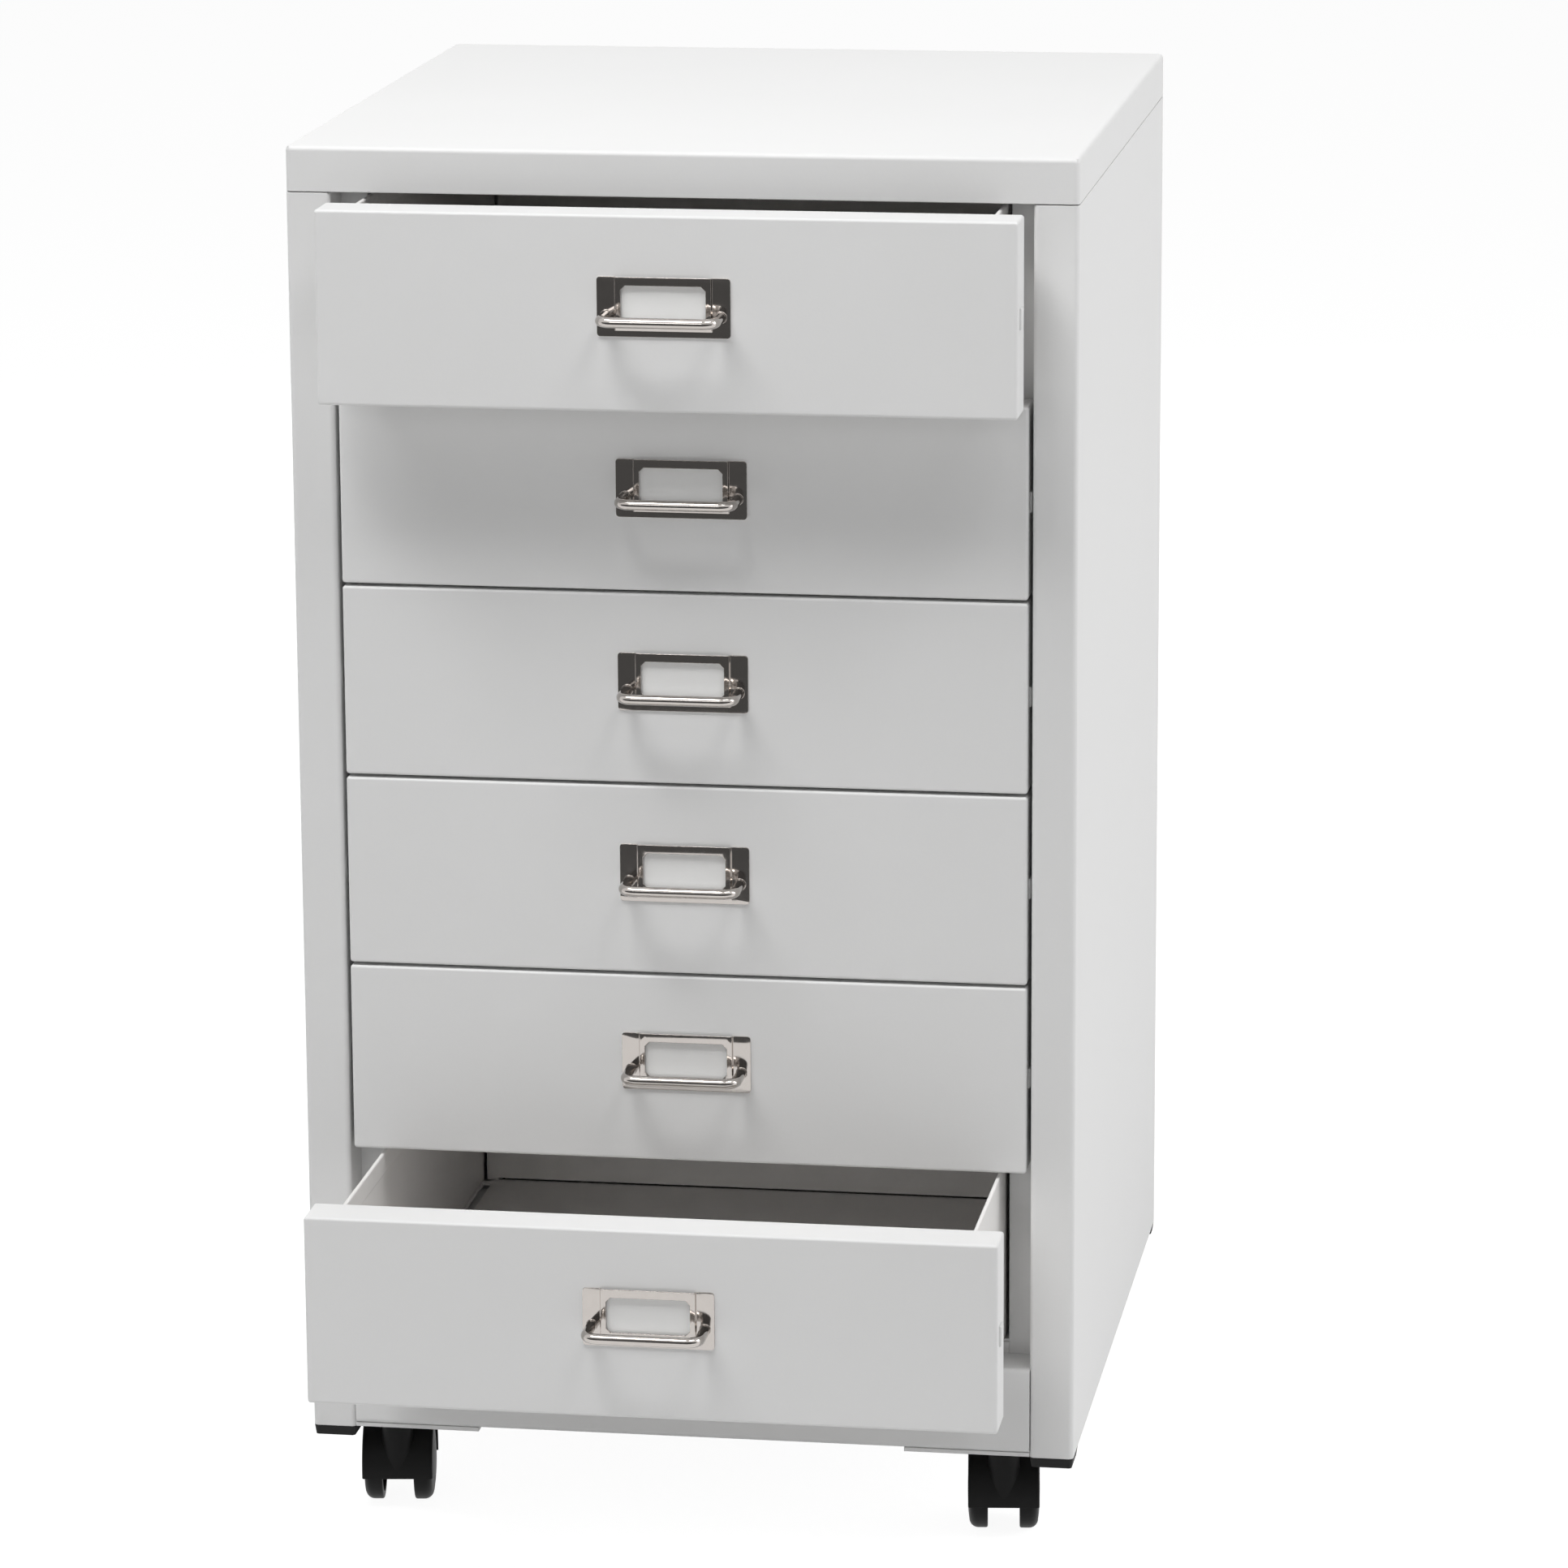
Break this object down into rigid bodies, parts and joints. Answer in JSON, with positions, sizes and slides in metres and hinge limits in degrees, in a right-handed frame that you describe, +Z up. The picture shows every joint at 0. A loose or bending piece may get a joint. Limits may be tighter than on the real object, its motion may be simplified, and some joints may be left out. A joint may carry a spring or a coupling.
{
  "type": "mobile pedestal",
  "caption": "Steel mobile pedestal: a tall narrow cabinet with a stack of sliding drawers, chrome label-holder bail pulls and hooded swivel casters.",
  "frame": {"origin": "on the floor under the middle of the object's box at rest, with the top and bottom drawers part open", "axes": "+Z up, the drawer fronts face -Y, +X to the right seen from the front"},
  "size_m": [0.38, 0.536, 0.69],
  "materials": {
    "white_paint": "satin white powder coat",
    "chrome": "bright plated",
    "card": "plain paper card",
    "black_plastic": "moulded, lightly textured",
    "zinc_steel": "bright zinc",
    "nylon": "natural nylon"
  },
  "bodies": {
    "cabinet": {"top_panel": "white_paint", "left_side_panel": "white_paint", "right_side_panel": "white_paint", "back_panel": "white_paint", "front_rail": "white_paint", "base_pan": "white_paint", "caster_brackets": "white_paint", "caster_stems": "zinc_steel", "foot_caps": "black_plastic", "left_runner_rails": "white_paint", "right_runner_rails": "white_paint", "glide_buttons": "nylon"},
    "drawer_1": {"drawer_1_front": "white_paint", "drawer_1_tray": "white_paint", "drawer_1_handle_plate": "chrome", "drawer_1_handle_bail": "chrome", "drawer_1_label_card": "card"},
    "drawer_2": {"drawer_2_front": "white_paint", "drawer_2_tray": "white_paint", "drawer_2_handle_plate": "chrome", "drawer_2_handle_bail": "chrome", "drawer_2_label_card": "card"},
    "drawer_3": {"drawer_3_front": "white_paint", "drawer_3_tray": "white_paint", "drawer_3_handle_plate": "chrome", "drawer_3_handle_bail": "chrome", "drawer_3_label_card": "card"},
    "drawer_4": {"drawer_4_front": "white_paint", "drawer_4_tray": "white_paint", "drawer_4_handle_plate": "chrome", "drawer_4_handle_bail": "chrome", "drawer_4_label_card": "card"},
    "drawer_5": {"drawer_5_front": "white_paint", "drawer_5_tray": "white_paint", "drawer_5_handle_plate": "chrome", "drawer_5_handle_bail": "chrome", "drawer_5_label_card": "card"},
    "drawer_6": {"drawer_6_front": "white_paint", "drawer_6_tray": "white_paint", "drawer_6_handle_plate": "chrome", "drawer_6_handle_bail": "chrome", "drawer_6_label_card": "card"},
    "front_left_caster": {"front_left_caster_housing": "black_plastic", "front_left_caster_axle": "zinc_steel"},
    "front_left_left_wheel": {"front_left_caster_left_wheel": "black_plastic"},
    "front_left_right_wheel": {"front_left_caster_right_wheel": "black_plastic"},
    "front_right_caster": {"front_right_caster_housing": "black_plastic", "front_right_caster_axle": "zinc_steel"},
    "front_right_left_wheel": {"front_right_caster_left_wheel": "black_plastic"},
    "front_right_right_wheel": {"front_right_caster_right_wheel": "black_plastic"},
    "rear_left_caster": {"rear_left_caster_housing": "black_plastic", "rear_left_caster_axle": "zinc_steel"},
    "rear_left_left_wheel": {"rear_left_caster_left_wheel": "black_plastic"},
    "rear_left_right_wheel": {"rear_left_caster_right_wheel": "black_plastic"},
    "rear_right_caster": {"rear_right_caster_housing": "black_plastic", "rear_right_caster_axle": "zinc_steel"},
    "rear_right_left_wheel": {"rear_right_caster_left_wheel": "black_plastic"},
    "rear_right_right_wheel": {"rear_right_caster_right_wheel": "black_plastic"}
  },
  "joints": [
    {"name": "drawer_1_slide", "type": "slide", "parent": "cabinet", "child": "drawer_1", "axis": [0, -1, 0], "range_m": [-0.044, 0.226]},
    {"name": "drawer_2_slide", "type": "slide", "parent": "cabinet", "child": "drawer_2", "axis": [0, -1, 0], "range_m": [0, 0.27]},
    {"name": "drawer_3_slide", "type": "slide", "parent": "cabinet", "child": "drawer_3", "axis": [0, -1, 0], "range_m": [0, 0.27]},
    {"name": "drawer_4_slide", "type": "slide", "parent": "cabinet", "child": "drawer_4", "axis": [0, -1, 0], "range_m": [0, 0.27]},
    {"name": "drawer_5_slide", "type": "slide", "parent": "cabinet", "child": "drawer_5", "axis": [0, -1, 0], "range_m": [0, 0.27]},
    {"name": "drawer_6_slide", "type": "slide", "parent": "cabinet", "child": "drawer_6", "axis": [0, -1, 0], "range_m": [-0.112, 0.158]},
    {"name": "front_left_swivel", "type": "hinge", "parent": "cabinet", "child": "front_left_caster", "pos_m": [-0.153, -0.107, 0.05], "axis": [0, 0, 1], "continuous": true},
    {"name": "front_left_left_spin", "type": "hinge", "parent": "front_left_caster", "child": "front_left_left_wheel", "pos_m": [-0.15509, -0.09215, 0.02], "axis": [0.9903, 0.1392, 0], "continuous": true},
    {"name": "front_left_right_spin", "type": "hinge", "parent": "front_left_caster", "child": "front_left_right_wheel", "pos_m": [-0.15509, -0.09215, 0.02], "axis": [0.9903, 0.1392, 0], "continuous": true},
    {"name": "front_right_swivel", "type": "hinge", "parent": "cabinet", "child": "front_right_caster", "pos_m": [0.153, -0.107, 0.05], "axis": [0, 0, 1], "continuous": true},
    {"name": "front_right_left_spin", "type": "hinge", "parent": "front_right_caster", "child": "front_right_left_wheel", "pos_m": [0.15117, -0.09211, 0.02], "axis": [0.9925, 0.1219, 0], "continuous": true},
    {"name": "front_right_right_spin", "type": "hinge", "parent": "front_right_caster", "child": "front_right_right_wheel", "pos_m": [0.15117, -0.09211, 0.02], "axis": [0.9925, 0.1219, 0], "continuous": true},
    {"name": "rear_left_swivel", "type": "hinge", "parent": "cabinet", "child": "rear_left_caster", "pos_m": [-0.153, 0.224, 0.05], "axis": [0, 0, 1], "continuous": true},
    {"name": "rear_left_left_spin", "type": "hinge", "parent": "rear_left_caster", "child": "rear_left_left_wheel", "pos_m": [-0.15483, 0.23889, 0.02], "axis": [0.9925, 0.1219, 0], "continuous": true},
    {"name": "rear_left_right_spin", "type": "hinge", "parent": "rear_left_caster", "child": "rear_left_right_wheel", "pos_m": [-0.15483, 0.23889, 0.02], "axis": [0.9925, 0.1219, 0], "continuous": true},
    {"name": "rear_right_swivel", "type": "hinge", "parent": "cabinet", "child": "rear_right_caster", "pos_m": [0.153, 0.224, 0.05], "axis": [0, 0, 1], "continuous": true},
    {"name": "rear_right_left_spin", "type": "hinge", "parent": "rear_right_caster", "child": "rear_right_left_wheel", "pos_m": [0.15117, 0.23889, 0.02], "axis": [0.9925, 0.1219, 0], "continuous": true},
    {"name": "rear_right_right_spin", "type": "hinge", "parent": "rear_right_caster", "child": "rear_right_right_wheel", "pos_m": [0.15117, 0.23889, 0.02], "axis": [0.9925, 0.1219, 0], "continuous": true}
  ]
}
